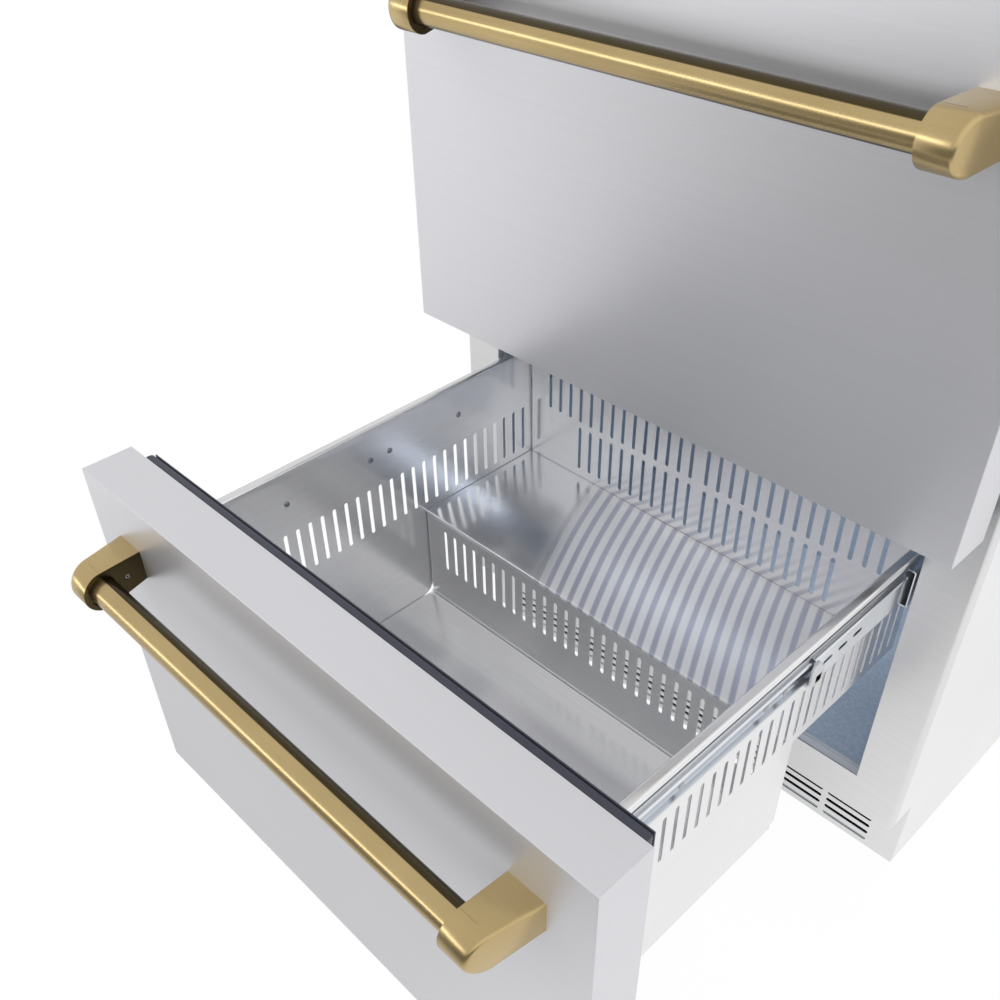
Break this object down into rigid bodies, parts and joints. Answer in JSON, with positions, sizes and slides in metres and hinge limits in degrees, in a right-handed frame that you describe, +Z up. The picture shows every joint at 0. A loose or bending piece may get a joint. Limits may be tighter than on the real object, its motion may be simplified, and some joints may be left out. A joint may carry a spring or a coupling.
{
  "type": "refrigerator drawer unit",
  "caption": "Built-in undercounter refrigerator with full-width steel drawers, bar handles in champagne metal, perforated steel baskets on telescopic slides, and the lower drawer open",
  "frame": {"origin": "on the floor, below the middle of the cabinet's face: the open lower drawer reaches as far in front of the face as the cabinet goes behind it", "axes": "+Z up from the floor, +Y back into the cabinet, +X to the right seen from the front"},
  "size_m": [0.606, 1.033, 0.87],
  "materials": {
    "cabinet_steel": "satin",
    "front_steel": "satin",
    "basket_steel": "satin",
    "galvanized_steel": "satin",
    "liner_metal": "satin",
    "breaker_plastic": "satin",
    "foam": "matte",
    "slide_zinc": "satin",
    "white_plastic": "satin",
    "black_plastic": "satin",
    "light_lens": "gloss",
    "aluminium_fins": "satin",
    "black_paint": "satin",
    "liner_white": "satin",
    "seal_rubber": "matte",
    "champagne_metal": "satin",
    "fastener_steel": "satin"
  },
  "bodies": {
    "cabinet": {"face_frame": "cabinet_steel", "side_panel_left": "cabinet_steel", "side_panel_right": "cabinet_steel", "top_panel": "cabinet_steel", "rear_panel": "galvanized_steel", "rear_grille": "galvanized_steel", "cabinet_bottom": "galvanized_steel", "base_pan": "galvanized_steel", "toe_kick_grille": "cabinet_steel", "leveling_feet": "black_plastic", "liner_upper": "liner_metal", "liner_lower": "liner_metal", "breaker_frames": "breaker_plastic", "insulation_boards": "foam", "slide_outer": "slide_zinc", "slide_brackets": "galvanized_steel", "evaporator_cover": "liner_metal", "evaporator": "aluminium_fins", "fan_motors": "black_paint", "compressor": "black_paint", "drain_pan": "white_plastic", "condenser": "aluminium_fins", "control_panel": "black_plastic", "led_lights": "light_lens", "terminal_box": "black_plastic"},
    "drawer_lower": {"front_panel_lower": "front_steel", "front_liner_lower": "liner_white", "front_insulation_lower": "foam", "gasket_lower": "seal_rubber", "handle_bar_lower": "champagne_metal", "handle_posts_lower": "champagne_metal", "slide_inner_lower": "slide_zinc", "basket_side_left_lower": "basket_steel", "basket_side_right_lower": "basket_steel", "basket_floor_lower": "basket_steel", "basket_back_lower": "basket_steel", "drawer_fasteners_lower": "fastener_steel", "basket_riser_lower": "basket_steel", "basket_step_lower": "basket_steel"},
    "drawer_upper": {"front_panel_upper": "front_steel", "front_liner_upper": "liner_white", "front_insulation_upper": "foam", "gasket_upper": "seal_rubber", "handle_bar_upper": "champagne_metal", "handle_posts_upper": "champagne_metal", "slide_inner_upper": "slide_zinc", "basket_side_left_upper": "basket_steel", "basket_side_right_upper": "basket_steel", "basket_floor_upper": "basket_steel", "basket_back_upper": "basket_steel", "drawer_fasteners_upper": "fastener_steel"},
    "middle_slides_lower": {"slide_middle_lower": "slide_zinc", "ball_retainers_lower": "slide_zinc", "slide_catches_lower": "white_plastic"},
    "middle_slides_upper": {"slide_middle_upper": "slide_zinc", "ball_retainers_upper": "slide_zinc", "slide_catches_upper": "white_plastic"},
    "evaporator_fan": {"evaporator_fan": "black_plastic"},
    "condenser_fan": {"condenser_fan": "black_plastic"}
  },
  "joints": [
    {"name": "drawer_lower_slide", "type": "slide", "parent": "cabinet", "child": "drawer_lower", "axis": [0, -1, 0], "range_m": [-0.3934, 0.0266]},
    {"name": "drawer_upper_slide", "type": "slide", "parent": "cabinet", "child": "drawer_upper", "axis": [0, -1, 0], "range_m": [0, 0.42]},
    {"name": "middle_lower_slide", "type": "slide", "parent": "cabinet", "child": "middle_slides_lower", "axis": [0, -1, 0], "range_m": [-0.1967, 0.0133]},
    {"name": "middle_upper_slide", "type": "slide", "parent": "cabinet", "child": "middle_slides_upper", "axis": [0, -1, 0], "range_m": [0, 0.21]},
    {"name": "evaporator_fan_spin", "type": "hinge", "parent": "cabinet", "child": "evaporator_fan", "pos_m": [0.16, 0.4472, 0.6686], "axis": [0, 1, 0], "continuous": true},
    {"name": "condenser_fan_spin", "type": "hinge", "parent": "cabinet", "child": "condenser_fan", "pos_m": [0.165, 0.434, 0.0885], "axis": [0, 1, 0], "continuous": true}
  ],
  "couplings": [
    {"joint": "middle_lower_slide", "follows": "drawer_lower_slide", "ratio": 0.5},
    {"joint": "middle_upper_slide", "follows": "drawer_upper_slide", "ratio": 0.5}
  ]
}
